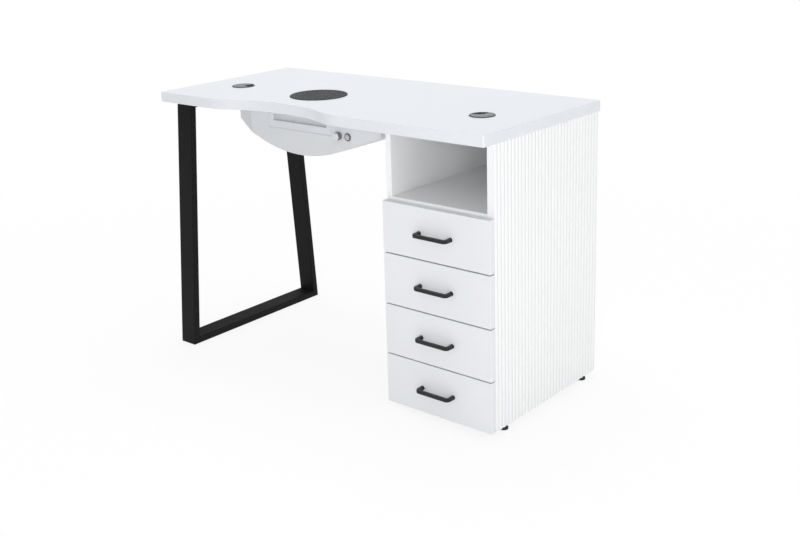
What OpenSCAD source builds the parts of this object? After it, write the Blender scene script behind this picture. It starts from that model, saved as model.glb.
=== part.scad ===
// Manicure table: a board top with a wave cut, a flat-tube leg frame on the left, a cabinet
// with an open niche and four drawers on the right, and a dust collector under the top.
// Millimetres. The origin is on the floor under the middle of the table. +Z is up, the
// technician sits on the -Y side and the cabinet stands at +X.

/* [Table top] */
// Width of the table top, left to right
top_w = 1140; // [980:1:1400]
// Depth of the table top, front to back
top_d = 520; // [430:1:640]
// Thickness of the top board
top_t = 28; // [22:1:40]
// Height of the top surface above the floor
table_h = 760; // [740:1:920]
// Thickness of the edge banding round the top
edge_t = 2; // [1:0.5:3]
// Corner radius of the top
corner_r = 4; // [3.5:0.5:20]

/* [Wave cut] */
// Width of the wave cut in the front edge
wave_w = 478; // [380:1:560]
// Depth of the wave cut
wave_d = 50; // [30:1:70]
// Radius of the two outer bends of the wave
wave_end_r = 150; // [80:1:200]

/* [Fittings in the top] */
// Distance of the cable grommets and the grille behind the front edge
fittings_y = 193; // [185:1:230]
// Distance of each cable grommet from its end of the top
grommet_end = 142; // [100:1:200]
// Diameter of the hole for a cable grommet
grommet_hole_d = 60; // [50:1:80]
// Width of the grommet's flange outside its hole
grommet_lip = 3; // [2:0.5:6]
// Depth of the grommet's sleeve in the top
grommet_depth = 18; // [10:1:21]
// Diameter of the hole under the grille
grille_hole_d = 146; // [120:1:150]
// Width of the grille's rim outside its hole
grille_lip = 7; // [4:0.5:12]
// Distance between the grille's slots
slot_pitch = 6.8; // [5:0.1:10]
// Width of the grille's slots
slot_w = 3.6; // [2:0.1:3.9]

/* [Leg frame] */
// Width of the flat tube
tube_w = 60; // [40:1:80]
// Thickness of the flat tube
tube_t = 20; // [15:1:30]
// Wall of the tube
tube_wall = 2; // [1.5:0.5:3]
// Distance of the frame from the top's left end
leg_inset = 19; // [5:1:60]
// How far the foot bar stands out past the top, front and back
foot_over = 8; // [0:1:20]
// Distance of the frame's upper corners from the front and back edges
leg_top_inset = 43; // [20:1:80]

/* [Cabinet] */
// Width of the cabinet with its ribbed cladding
cab_w = 328; // [290:1:400]
// Distance of the cabinet's front edge behind the top's front edge
cab_front = 42; // [42:1:60]
// Distance of the cabinet's back in front of the top's back edge
cab_back = 10; // [0:1:40]
// Thickness of the cabinet boards
board_t = 16; // [16:1:19]
// Thickness of the ribbed cladding
clad_t = 6; // [5:0.5:10]
// Distance between the ribs
rib_pitch = 14.6; // [10:0.1:20]
// Height of the feet under the cabinet
foot_h = 13; // [8:1:30]
// Diameter of the feet
foot_d = 24; // [18:1:40]
// Distance of the feet from the cabinet's front and back
foot_inset = 50; // [30:1:90]

/* [Drawers] */
// Number of drawers
drawer_n = 4; // [4]
// Distance from one drawer front to the next
drawer_pitch = 136; // [120:1:150]
// Gap between two drawer fronts
front_gap = 3; // [2:0.5:5]
// Thickness of the drawer fronts
front_t = 18; // [16:1:22]
// Gap between a drawer front and the cabinet
front_clear = 2; // [1:0.5:4]
// Height of the drawer box
box_h = 85; // [60:1:92]
// Thickness of the drawer box boards
box_t = 12; // [10:1:16]
// Thickness of the drawer bottom
bottom_t = 3; // [3:0.5:5]
// Room for the runner on each side of the drawer box
runner_room = 13; // [13:0.5:16]
// Height of the runner
runner_h = 35; // [27:1:45]
// Distance between the handle's screws
handle_span = 96; // [64:1:160]
// Thickness of the handle's bar
handle_d = 9; // [7:0.5:12]
// How far the handle stands out
handle_out = 28; // [24:1:29]

/* [Dust collector] */
// Width of the collector's housing
col_w = 532; // [480:1:544]
// Depth of the housing, front to back
col_depth = 230; // [215:1:260]
// Distance of its front face behind the top's front edge
col_front = 112; // [112:1:130]
// Height of the housing at its middle
col_h = 125; // [120:1:150]
// Height of the housing at its ends
col_end_h = 53; // [40:1:60]
// Radius of the housing's belly
col_belly_r = 420; // [380:1:500]
// Width of the flat part of the front
col_flat_w = 380; // [376:1:400]
// Angle at which the front turns back beside its flat part
col_turn = 21; // [15:1:30]
// Wall of the housing
col_wall = 3; // [2:0.5:4]
// Width of the filter drawer
filter_w = 238; // [200:1:240]
// Height of the filter drawer's face
filter_h = 56; // [52:1:60]
// Length of the filter tray behind its face
filter_len = 170; // [140:1:175]
// Width of the finger slot in the face
grip_w = 200; // [100:1:200]
// Height of the finger slot
grip_h = 18; // [14:1:22]
// Depth of the finger slot
grip_depth = 12; // [8:1:13]
// Height of the finger slot above the face's lower edge
grip_rise = 20; // [12:1:22]
// Distance of the speed knob from the collector's middle
knob_x = 145; // [138:1:150]
// Diameter of the speed knob
knob_d = 22; // [18:1:24]
// Height of the speed knob
knob_h = 14; // [10:1:18]
// Distance of the power button from the collector's middle
button_x = 177; // [174:1:178]
// Diameter of the power button's bezel
bezel_d = 22; // [20:1:22]
// Distance of the knob and the button below the top
control_drop = 55; // [50:1:58]
// Diameter of the fan wheel
fan_d = 130; // [110:1:140]
// Diameter of the fan motor
motor_d = 60; // [50:1:70]

/* [Hidden] */
$fn = 96;

// general clearances
snug = 0.05; // radial, where a piece sits or turns in its hole
loose = 0.3; // between pieces that move past each other
over = 1; // how far a cutter reaches past what it cuts

// table top
under_z = table_h - top_t;
front_y = -top_d / 2;
back_y = top_d / 2;
fittings_at = front_y + fittings_y;
grommet_x = top_w / 2 - grommet_end;
grommet_opening = 95; // angle of the gap in a grommet's cap
grille_rim_t = 2.5;
grille_bar = 3; // width of the grille's two cross bars
pilot_deep = 18; // depth of screw holes in the top
wave_steps = 12; // facets of each outer bend of the wave

// leg frame: corners of the closed trapezium in the Y-Z plane
leg_x0 = -top_w / 2 + leg_inset;
leg_x1 = leg_x0 + tube_w;
foot_y = top_d / 2 + foot_over;
leg_top_y = top_d / 2 - leg_top_inset;
leg_lean = atan((foot_y - leg_top_y) / under_z);
function leg_edge_y(z) = foot_y - z * tan(leg_lean);
post_in = tube_t / cos(leg_lean);
leg_outer = [[-foot_y, 0], [foot_y, 0], [leg_top_y, under_z], [-leg_top_y, under_z]];
leg_low_in = leg_edge_y(tube_t) - post_in;
leg_high_in = leg_edge_y(under_z - tube_t) - post_in;
leg_inner = [
    [-leg_low_in, tube_t], [leg_low_in, tube_t],
    [leg_high_in, under_z - tube_t], [-leg_high_in, under_z - tube_t]
];
leg_screw_y = [-leg_high_in + 40, -leg_high_in / 3, leg_high_in / 3, leg_high_in - 40];
leg_screw_d = 5;
leg_head_d = 9;
leg_head_h = 3;

// cabinet
cab_x1 = top_w / 2;
cab_x0 = cab_x1 - cab_w;
cab_in_x0 = cab_x0 + board_t;
cab_in_x1 = cab_x1 - clad_t - board_t;
cab_in_w = cab_in_x1 - cab_in_x0;
cab_y0 = front_y + cab_front;
cab_y1 = back_y - cab_back;
cab_in_y1 = cab_y1 - board_t;
cab_h = under_z - foot_h;
rib_base = clad_t - 2.2; // thickness of the cladding between its ribs
rib_land = 1.2; // flat strip between two ribs
foot_stud_d = 6;
foot_stud_l = 20;
bracket_size = 22;
bracket_t = 4;
bracket_y = [cab_y0 + 70, cab_in_y1 - 60];
confirmat_d = 6;
confirmat_head_d = 9;
confirmat_head_h = 4;
confirmat_l = 46;

// drawers, counted from the top one
front_h = drawer_pitch - front_gap;
front_z0 = foot_h + 1;
reveal = 0.5; // how far the fronts stop short of the cabinet's sides
front_face_y = cab_y0 - front_clear - front_t;
front_back_y = cab_y0 - front_clear;
box_rise = 24; // height of a drawer box above its front's lower edge
box_w = cab_in_w - 2 * runner_room;
box_x0 = cab_in_x0 + runner_room;
groove = 6; // depth of the groove that holds the drawer bottom
groove_z = 8; // height of that groove above the box's lower edge
runner_step = 50; // runners are made in steps of this length
runner_len = runner_step * floor((cab_in_y1 - cab_y0 - 10) / runner_step);
runner_steel = 1.5;
function drawer_z(i) = front_z0 + (drawer_n - i) * drawer_pitch;
function runner_z(i) = drawer_z(i) + box_rise + box_h / 2;
shelf_z1 = front_z0 + drawer_n * drawer_pitch - front_gap + 8;
handle_bend = 9; // radius of the handle's two bends, at the middle of its bar
handle_screw_d = 4;
handle_foot = 2; // thickness of the flange at each end of the handle
confirmat_at = [
    [cab_y0 + 60, foot_h + board_t / 2], [cab_in_y1 - 60, foot_h + board_t / 2],
    [cab_y0 + 60, shelf_z1 - board_t / 2], [cab_in_y1 - 60, shelf_z1 - board_t / 2],
    [cab_y1 - board_t / 2, foot_h + 120], [cab_y1 - board_t / 2, under_z - 60]
];

// dust collector, centred in the knee space
work_x = (leg_x1 + cab_x0) / 2;
col_y0 = front_y + col_front;
col_y1 = col_y0 + col_depth;
belly_up = col_belly_r - col_h; // height of the belly's centre above the underside
belly_far = norm([col_w / 2, belly_up + col_end_h]);
belly_turn = atan2(col_w / 2, belly_up + col_end_h) - acos(col_belly_r / belly_far);
belly_steps = 16; // facets of the belly on each side
plate_t = 3;
plate_w = 400;
filter_gap = 2; // gap between the filter drawer's face and the top
filter_z1 = under_z - filter_gap;
filter_z0 = filter_z1 - filter_h;
plate_z1 = filter_z0 - loose;
plate_z0 = plate_z1 - plate_t;
face_t = grip_depth + 4; // thickness of the filter drawer's face
tray_w = filter_w - 6;
tray_h = 46;
tray_wall = 2.5;
tray_ledge = 10;
tray_y0 = col_y0 + face_t;
pleat_n = 18;
pleat_h = 28;
pleat_t = 1.5;
cassette_h = 36;
cassette_rim = 4;
pillar_d = 12;
pillar_x = plate_w / 2 - 12;
pillar_y = [col_y0 + 30, col_y1 - 28];
lug_size = 20;
lug_t = 6;
lug_x = col_w / 2 - col_wall - lug_size / 2;
lug_y = [col_y0 + 50, col_y1 - 24];
col_screw_d = 4;
col_head_d = 8;
col_head_h = 3;
control_z = under_z - control_drop;
spindle_d = 6;
spindle_l = 11;
pot_d = 16;
pot_l = 12;
pcb_t = 1.6;
pcb_w = 30;
pcb_h = 42;
thread_d = 18.4;
thread_l = 20;
bezel_t = 2.5;
plunger_d = 14.3;
plunger_l = 10;
plunger_out = 1;
button_travel = 2.5;
motor_z0 = under_z - col_h + 9;
motor_h = 20;
shaft_d = 6;
shaft_l = 38;
fan_z0 = motor_z0 + motor_h + 4;
fan_disc_t = 2;
blade_n = 9;
blade_t = 2;
blade_h = 23;
hub_d = 24;
hub_h = 18;
inlet_d = 88;
exhaust_w = 140;
exhaust_h = 34;
exhaust_z = under_z - col_h + 36;
exhaust_t = 2.5;
exhaust_lip = 5;
louvre_n = 14;
louvre_w = 3.8;
gland_x = 150;
gland_z = under_z - 32;
gland_bore_d = 7.2;
gland_body_d = 15.9;
gland_flange_d = 20;

// ---------- table top ----------

module rounded_rect(w, d, r) {
    square([w, d - 2 * r], center = true);
    square([w - 2 * r, d], center = true);
    for (sx = [-1, 1])
        for (sy = [-1, 1])
            translate([sx * (w / 2 - r), sy * (d / 2 - r)])
                circle(r);
}

function arc_points(centre, r, from, to, steps) = [
    for (k = [0 : steps])
        let (a = from + (to - from) * k / steps)
            centre + r * [sin(a), cos(a)]
];

// Region that the wave takes out of the front edge, which runs along y = 0. Three tangent
// arcs bound it, and inset moves them all into the board.
module wave_cut(inset) {
    half = wave_w / 2;
    turn = 2 * atan(wave_d / half);
    mid_r = half / sin(turn) - wave_end_r;
    end_r = wave_end_r - inset;
    polygon(concat(
        [[-half, -over]],
        arc_points([-half, wave_end_r], end_r, 180, 180 - turn, wave_steps),
        arc_points([0, wave_d - mid_r], mid_r + inset, -turn, turn, 2 * wave_steps),
        arc_points([half, wave_end_r], end_r, 180 + turn, 180, wave_steps),
        [[half, -over]]
    ));
}

module top_outline(inset) {
    difference() {
        rounded_rect(top_w - 2 * inset, top_d - 2 * inset, corner_r - inset);
        translate([work_x, front_y])
            wave_cut(inset);
    }
}

module table_top() {
    color("white")
        difference() {
            translate([0, 0, under_z])
                linear_extrude(top_t)
                    top_outline(edge_t);
            for (side = [-1, 1])
                translate([side * grommet_x, fittings_at, under_z - over])
                    cylinder(d = grommet_hole_d, h = top_t + 2 * over);
            translate([work_x, fittings_at, under_z - over])
                cylinder(d = grille_hole_d, h = top_t + 2 * over);
            at_leg_screws(under_z - over)
                cylinder(d = leg_screw_d + 2 * snug, h = pilot_deep + over, $fn = 24);
            at_bracket_screws()
                translate([0, 0, -over])
                    cylinder(d = col_screw_d + 2 * snug, h = pilot_deep + over, $fn = 24);
            at_collector_screws(under_z - over)
                cylinder(d = col_screw_d + 2 * snug, h = pilot_deep + over, $fn = 24);
        }
}

module edge_band() {
    color("whitesmoke")
        translate([0, 0, under_z])
            linear_extrude(top_t)
                difference() {
                    top_outline(0);
                    top_outline(edge_t);
                }
}

// Flanged ring that lines a cable hole. Its profile is measured from the top surface.
module grommet_sleeve(side) {
    r = grommet_hole_d / 2;
    color("dimgray")
        translate([side * grommet_x, fittings_at, table_h])
            rotate_extrude()
                polygon([
                    [r - snug, -grommet_depth], [r - snug, 0], [r + grommet_lip, 0],
                    [r + grommet_lip, 1.5], [r + grommet_lip - 1, 2.5], [r - 0.5, 2.5],
                    [r - 0.5, 0.2], [r - 3.5, 0.2], [r - 3.5, -1.8],
                    [r - 2.2, -1.8], [r - 2.2, -grommet_depth]
                ]);
}

// Turning cap of a grommet, open over a sector through which the cables pass
module grommet_cap(side, facing) {
    r = grommet_hole_d / 2 - 0.5 - loose;
    reach = 2 * grommet_hole_d;
    color("gray")
        translate([side * grommet_x, fittings_at, table_h])
            rotate([0, 0, facing]) {
                difference() {
                    union() {
                        translate([0, 0, 0.5])
                            cylinder(r = r, h = 1.8);
                        translate([0, 0, -3])
                            difference() {
                                cylinder(r = r - 3, h = 4);
                                translate([0, 0, -over])
                                    cylinder(r = r - 5, h = 3 + over + 0.5);
                            }
                    }
                    translate([0, 0, -5])
                        linear_extrude(10)
                            polygon([
                                [0, 0],
                                reach * [cos(grommet_opening / 2), -sin(grommet_opening / 2)],
                                reach * [cos(grommet_opening / 2), sin(grommet_opening / 2)]
                            ]);
                }
                translate([0, 0, 0.5])
                    cylinder(r = 5, h = 2.5);
            }
}

// Perforated disc over the intake, with a rim on the top and a spigot in the collar
module grille() {
    r = grille_hole_d / 2;
    open_r = r - 6;
    count = floor((open_r - slot_w) / slot_pitch);
    color("dimgray")
        translate([work_x, fittings_at, table_h]) {
            linear_extrude(grille_rim_t - 0.5)
                difference() {
                    circle(r + grille_lip);
                    intersection() {
                        circle(open_r);
                        for (i = [-count : count])
                            translate([i * slot_pitch, 0])
                                square([slot_w, 2 * open_r], center = true);
                    }
                }
            intersection() {
                for (side = [-1, 1])
                    translate([-r, side * open_r / 3 - grille_bar / 2, -1.5])
                        cube([2 * r, grille_bar, 2]);
                translate([0, 0, -2])
                    cylinder(r = open_r + over, h = 4);
            }
            translate([0, 0, grille_rim_t - 0.5])
                difference() {
                    cylinder(r1 = r + grille_lip, r2 = r + grille_lip - 0.5, h = 0.5);
                    translate([0, 0, -over])
                        cylinder(r = open_r + 3, h = 2 * over + 0.5);
                }
            translate([0, 0, -14])
                difference() {
                    cylinder(r = r - 2.5 - loose, h = 14);
                    translate([0, 0, -over])
                        cylinder(r = open_r + 0.5, h = 14 + 2 * over);
                }
        }
}

module grille_collar() {
    color("dimgray")
        translate([work_x, fittings_at, under_z])
            difference() {
                cylinder(d = grille_hole_d - 2 * snug, h = top_t - loose);
                translate([0, 0, -over])
                    cylinder(d = grille_hole_d - 5, h = top_t + 2 * over);
            }
}

// ---------- leg frame ----------

function mix(a, b, k) = a + (b - a) * k;
function past(a, b, by) = a - by * (b - a) / norm(b - a);

// One mitred tube of the frame, between corners i and j of the trapezium
module frame_tube(i, j) {
    shell = tube_wall / tube_t;
    oa = leg_outer[i];
    ob = leg_outer[j];
    ia = leg_inner[i];
    ib = leg_inner[j];
    low_a = mix(oa, ia, shell);
    low_b = mix(ob, ib, shell);
    high_a = mix(oa, ia, 1 - shell);
    high_b = mix(ob, ib, 1 - shell);
    translate([leg_x0, 0, 0])
        rotate([90, 0, 90])
            difference() {
                linear_extrude(tube_w)
                    polygon([oa, ob, ib, ia]);
                translate([0, 0, tube_wall])
                    linear_extrude(tube_w - 2 * tube_wall)
                        polygon([
                            past(low_a, low_b, tube_t), past(low_b, low_a, tube_t),
                            past(high_b, high_a, tube_t), past(high_a, high_b, tube_t)
                        ]);
            }
}

module leg_front_post() {
    color("#2b2c2d")
        frame_tube(0, 3);
}

module leg_rear_post() {
    color("#2b2c2d")
        frame_tube(1, 2);
}

module leg_foot_bar() {
    color("#2b2c2d")
        frame_tube(0, 1);
}

module at_leg_screws(z) {
    for (y = leg_screw_y)
        translate([leg_x0 + tube_w / 2, y, z])
            children();
}

// Upper bar, with a clearance hole above and a wider hole for the driver below
module leg_top_bar() {
    color("#2b2c2d")
        difference() {
            frame_tube(3, 2);
            at_leg_screws(under_z - tube_t - over)
                cylinder(d = leg_head_d + 2, h = tube_t / 2, $fn = 32);
            at_leg_screws(under_z - tube_t / 2)
                cylinder(d = leg_screw_d + 2 * snug, h = tube_t, $fn = 24);
        }
}

module leg_screws() {
    color("silver")
        at_leg_screws(under_z - tube_wall) {
            cylinder(d = leg_screw_d, h = tube_wall + pilot_deep - 2, $fn = 24);
            translate([0, 0, -leg_head_h])
                cylinder(d = leg_head_d, h = leg_head_h, $fn = 32);
        }
}

// ---------- cabinet ----------

// Places children at each cabinet screw, with +Z pointing from the outer face inwards
module at_confirmats(side) {
    x = side < 0 ? cab_x0 : cab_x1 - clad_t;
    for (p = confirmat_at)
        translate([x, p[0], p[1]])
            rotate([0, -side * 90, 0])
                children();
}

module confirmat_holes(side) {
    at_confirmats(side) {
        translate([0, 0, -over])
            cylinder(d = confirmat_head_d + 2 * snug, h = confirmat_head_h + over, $fn = 32);
        cylinder(d = confirmat_d + 2 * snug, h = confirmat_l + snug, $fn = 24);
    }
}

module at_feet() {
    for (x = [cab_x0 + board_t / 2, cab_x1 - clad_t - board_t / 2])
        for (y = [cab_y0 + foot_inset, cab_y1 - foot_inset])
            translate([x, y, 0])
                children();
}

module side_panel(side) {
    x = side < 0 ? cab_x0 : cab_in_x1;
    color("white")
        difference() {
            translate([x, cab_y0, foot_h])
                cube([board_t, cab_y1 - cab_y0, cab_h]);
            confirmat_holes(side);
            at_feet()
                translate([0, 0, foot_h - over])
                    cylinder(d = foot_stud_d + 2 * snug, h = foot_stud_l + over, $fn = 24);
            at_bracket_sides(side)
                cylinder(d = col_screw_d + 2 * snug, h = board_t - 4, $fn = 24);
        }
}

// Outer skin with rounded vertical ribs
module cabinet_cladding() {
    depth = cab_y1 - cab_y0;
    rib_h = clad_t - rib_base;
    half = (rib_pitch - rib_land) / 2;
    rib_r = (half * half + rib_h * rib_h) / (2 * rib_h);
    count = floor(depth / rib_pitch);
    start = (depth - count * rib_pitch + rib_pitch) / 2;
    color("white")
        translate([cab_x1 - clad_t, cab_y0, foot_h])
            linear_extrude(cab_h) {
                square([rib_base, depth]);
                intersection() {
                    translate([rib_base / 2, 0])
                        square([clad_t, depth]);
                    for (i = [0 : count - 1])
                        translate([clad_t - rib_r, start + i * rib_pitch])
                            circle(rib_r);
                }
            }
}

module cabinet_back() {
    color("white")
        difference() {
            translate([cab_in_x0, cab_in_y1, foot_h])
                cube([cab_in_w, board_t, cab_h]);
            confirmat_holes(-1);
            confirmat_holes(1);
        }
}

// Level board between the sides, with its upper face at z
module level_board(z) {
    color("white")
        difference() {
            translate([cab_in_x0, cab_y0, z - board_t])
                cube([cab_in_w, cab_in_y1 - cab_y0, board_t]);
            confirmat_holes(-1);
            confirmat_holes(1);
        }
}

module cabinet_bottom() {
    level_board(foot_h + board_t);
}

module niche_shelf() {
    level_board(shelf_z1);
}

module cabinet_feet() {
    disc_h = foot_h * 0.4;
    color("#202020")
        at_feet() {
            cylinder(d = foot_d, h = disc_h);
            cylinder(d = foot_d - 6, h = foot_h);
            cylinder(d = foot_stud_d, h = foot_h + foot_stud_l - 2, $fn = 24);
        }
}

module at_brackets(side) {
    x = side < 0 ? cab_in_x0 : cab_in_x1;
    for (y = bracket_y)
        translate([x, y, under_z])
            mirror([side < 0 ? 0 : 1, 0, 0])
                children();
}

module at_bracket_screws() {
    for (side = [-1, 1])
        at_brackets(side)
            translate([bracket_size / 2 + bracket_t / 2, 0, 0])
                children();
}

// Screw axes into a side panel, with +Z pointing into the panel
module at_bracket_sides(side) {
    at_brackets(side)
        translate([0, 0, -bracket_size / 2 - bracket_t / 2])
            rotate([0, -90, 0])
                children();
}

// Four plastic angles that hold the top on the cabinet's sides
module cabinet_brackets() {
    color("white")
        difference() {
            for (side = [-1, 1])
                at_brackets(side)
                    rotate([90, 0, 0])
                        translate([0, 0, -bracket_size / 2])
                            linear_extrude(bracket_size)
                                polygon([
                                    [0, 0], [bracket_size, 0], [bracket_size, -bracket_t],
                                    [bracket_t, -bracket_t], [bracket_t, -bracket_size],
                                    [0, -bracket_size]
                                ]);
            at_bracket_screws()
                translate([0, 0, -bracket_t - over])
                    cylinder(d = col_screw_d + 2 * snug, h = bracket_t + 2 * over, $fn = 24);
            for (side = [-1, 1])
                at_bracket_sides(side)
                    translate([0, 0, -bracket_t - over])
                        cylinder(d = col_screw_d + 2 * snug, h = bracket_t + 2 * over, $fn = 24);
        }
}

module bracket_screw(l) {
    translate([0, 0, -bracket_t - 2])
        cylinder(d = 7, h = 2, $fn = 32);
    translate([0, 0, -bracket_t - 1])
        cylinder(d = col_screw_d, h = bracket_t + 1 + l, $fn = 24);
}

// Screws of the carcass and of the angles under the top
module cabinet_screws() {
    color("silver") {
        for (side = [-1, 1])
            at_confirmats(side) {
                cylinder(d = confirmat_head_d, h = confirmat_head_h, $fn = 32);
                cylinder(d = confirmat_d, h = confirmat_l, $fn = 24);
            }
        at_bracket_screws()
            bracket_screw(pilot_deep - 2);
        for (side = [-1, 1])
            at_bracket_sides(side)
                bracket_screw(board_t - 5);
    }
}

// Channel of a runner, open towards +X: height h, from x0 to x1, web at x0
module runner_channel(h, x0, x1) {
    lip = runner_steel;
    translate([x0, -h / 2])
        square([lip, h]);
    for (y = [-h / 2, h / 2 - lip])
        translate([x0, y])
            square([x1 - x0, lip]);
}

// Places children at each drawer side: +X from the cabinet's side towards the drawer
module at_runner(i, side) {
    x = side < 0 ? cab_in_x0 : cab_in_x1;
    translate([x, 0, runner_z(i)])
        mirror([side < 0 ? 0 : 1, 0, 0])
            children();
}

module cabinet_runners() {
    color("gainsboro")
        for (i = [1 : drawer_n])
            for (side = [-1, 1])
                at_runner(i, side)
                    translate([0, cab_y0 + runner_len, 0])
                        rotate([90, 0, 0])
                            linear_extrude(runner_len)
                                runner_channel(runner_h, 0, runner_room - 3);
}

// ---------- drawers ----------

module at_handle_screws(i) {
    for (side = [-1, 1])
        translate([(cab_x0 + cab_x1) / 2 + side * handle_span / 2, front_face_y,
                   drawer_z(i) + front_h / 2])
            children();
}

module drawer_front(i) {
    color("white")
        difference() {
            translate([cab_x0 + reveal, front_face_y, drawer_z(i)])
                cube([cab_w - 2 * reveal, front_t, front_h]);
            at_handle_screws(i)
                translate([0, -over, 0])
                    rotate([-90, 0, 0])
                        cylinder(d = handle_screw_d + 2 * snug, h = front_t + 2 * over, $fn = 24);
        }
}

module drawer_panel_space(i, extra) {
    translate([box_x0 + box_t - groove - extra, front_back_y,
               drawer_z(i) + box_rise + groove_z - extra])
        cube([box_w - 2 * box_t + 2 * groove + 2 * extra,
              runner_len - box_t + groove + extra, bottom_t + 2 * extra]);
}

// Two sides and a back board, grooved for the bottom
module drawer_box(i) {
    z = drawer_z(i) + box_rise;
    color("gainsboro")
        difference() {
            union() {
                for (x = [box_x0, box_x0 + box_w - box_t])
                    translate([x, front_back_y, z])
                        cube([box_t, runner_len, box_h]);
                translate([box_x0 + box_t, front_back_y + runner_len - box_t, z])
                    cube([box_w - 2 * box_t, box_t, box_h]);
            }
            drawer_panel_space(i, snug);
        }
}

module drawer_bottom(i) {
    color("gainsboro")
        drawer_panel_space(i, 0);
}

// Bow handle: a round bar with two bends and a flange at each foot
module drawer_handle(i) {
    reach = handle_out - handle_d / 2;
    span = handle_span - 2 * handle_bend;
    color("#26272a")
        translate([(cab_x0 + cab_x1) / 2, front_face_y, drawer_z(i) + front_h / 2])
            difference() {
                union() {
                    translate([-span / 2, -reach, 0])
                        rotate([0, 90, 0])
                            cylinder(d = handle_d, h = span, $fn = 48);
                    for (side = [0, 1])
                        mirror([side, 0, 0]) {
                            translate([span / 2, -reach + handle_bend, 0])
                                rotate([0, 0, -90])
                                    rotate_extrude(angle = 90, $fn = 96)
                                        translate([handle_bend, 0])
                                            circle(d = handle_d, $fn = 48);
                            translate([handle_span / 2, 0, 0])
                                rotate([90, 0, 0])
                                    cylinder(d = handle_d, h = reach - handle_bend, $fn = 48);
                            translate([handle_span / 2, 0, 0])
                                rotate([90, 0, 0])
                                    cylinder(d = handle_d + 3, h = handle_foot, $fn = 48);
                        }
                }
                for (side = [-1, 1])
                    translate([side * handle_span / 2, over, 0])
                        rotate([90, 0, 0])
                            cylinder(d = handle_screw_d + 2 * snug, h = 10 + over, $fn = 24);
            }
}

// Sliding runner members on the drawer box, and the screws that hold the handle
module drawer_fittings(i) {
    inner_h = runner_h - 2 * runner_steel - 2 * loose;
    color("silver") {
        for (side = [-1, 1])
            at_runner(i, side)
                translate([runner_room, front_back_y + runner_len, 0])
                    rotate([90, 0, 0])
                        linear_extrude(runner_len)
                            mirror([1, 0])
                                runner_channel(inner_h, 0, runner_room - 3);
        at_handle_screws(i)
            translate([0, front_t, 0])
                rotate([90, 0, 0]) {
                    cylinder(d = handle_screw_d, h = front_t + 9, $fn = 24);
                    translate([0, 0, -2.5])
                        cylinder(d = 8, h = 2.5, $fn = 32);
                }
    }
}

// ---------- dust collector ----------

// Point of the belly's arc at an angle from straight down
function belly_point(r, a) = [r * sin(a), belly_up - r * cos(a)];

// Front view of the housing below y = 0: straight ends, sloping flanks and a round belly
module collector_front_view(inset, rise) {
    r = col_belly_r - inset;
    half = col_w / 2 - inset;
    meet = belly_point(r, belly_turn);
    end_y = meet[1] + (half - meet[0]) * tan(belly_turn);
    belly = [for (k = [-belly_steps : belly_steps]) belly_point(r, k * belly_turn / belly_steps)];
    polygon(concat([[-half, rise], [-half, end_y]], belly, [[half, end_y], [half, rise]]));
}

// Plan of the housing: a flat front whose ends turn back
module collector_plan(inset) {
    half = col_w / 2 - inset;
    flat = col_flat_w / 2 - inset * tan(col_turn / 2);
    y0 = col_y0 + inset;
    turn_y = y0 + (half - flat) * tan(col_turn);
    polygon([
        [-half, col_y1 - inset], [-half, turn_y], [-flat, y0],
        [flat, y0], [half, turn_y], [half, col_y1 - inset]
    ]);
}

module collector_solid(inset, rise) {
    intersection() {
        translate([work_x, col_y1 + over, under_z])
            rotate([90, 0, 0])
                linear_extrude(col_depth + 2 * over)
                    collector_front_view(inset, rise);
        translate([work_x, 0, under_z - col_h - over])
            linear_extrude(col_h + rise + 2 * over)
                collector_plan(inset);
    }
}

// Space that the fascia takes at the front of the housing
module fascia_space(extra) {
    translate([work_x - col_flat_w / 2 - extra, col_y0 - over, under_z - col_h - over])
        cube([col_flat_w + 2 * extra, over + col_wall, col_h + 2 * over]);
}

module at_lugs() {
    for (x = [-lug_x, lug_x])
        for (y = lug_y)
            translate([work_x + x, y, under_z])
                children();
}

module at_collector_screws(z) {
    at_lugs()
        translate([0, 0, z - under_z])
            children();
}

// Tub with bosses for the fan plate and the motor, and lugs that are screwed to the top
module collector_shell() {
    color("#d6d8db")
        difference() {
            union() {
                difference() {
                    collector_solid(0, 0);
                    collector_solid(col_wall, over);
                }
                intersection() {
                    collector_solid(col_wall / 2, 0);
                    union() {
                        for (x = [-pillar_x, pillar_x])
                            for (y = pillar_y)
                                translate([work_x + x, y, plate_z0 - col_h])
                                    cylinder(d = pillar_d, h = col_h);
                        translate([work_x, fittings_at, motor_z0 - col_h])
                            cylinder(d = motor_d + 4, h = col_h);
                    }
                }
                at_lugs()
                    translate([-lug_size / 2, -lug_size / 2, -lug_t])
                        cube([lug_size, lug_size, lug_t]);
                for (x = [-1, 1])
                    for (y = lug_y)
                        translate([work_x + x * (col_w / 2 - col_wall / 2 - 1), y, under_z - lug_t / 2])
                            cube([col_wall / 2 + 2, lug_size, lug_t], center = true);
            }
            fascia_space(0);
            at_lugs()
                translate([0, 0, -lug_t - over])
                    cylinder(d = col_screw_d + 2 * snug, h = lug_t + 2 * over, $fn = 24);
            translate([work_x - exhaust_w / 2, col_y1 - col_wall - over, exhaust_z - exhaust_h / 2])
                cube([exhaust_w, col_wall + 2 * over, exhaust_h]);
            translate([work_x + gland_x, col_y1 - col_wall - over, gland_z])
                rotate([-90, 0, 0])
                    cylinder(d = gland_body_d + 2 * snug, h = col_wall + 2 * over, $fn = 48);
        }
}

module at_controls(x) {
    translate([work_x + x, col_y0, control_z])
        rotate([90, 0, 0])
            children();
}

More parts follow.
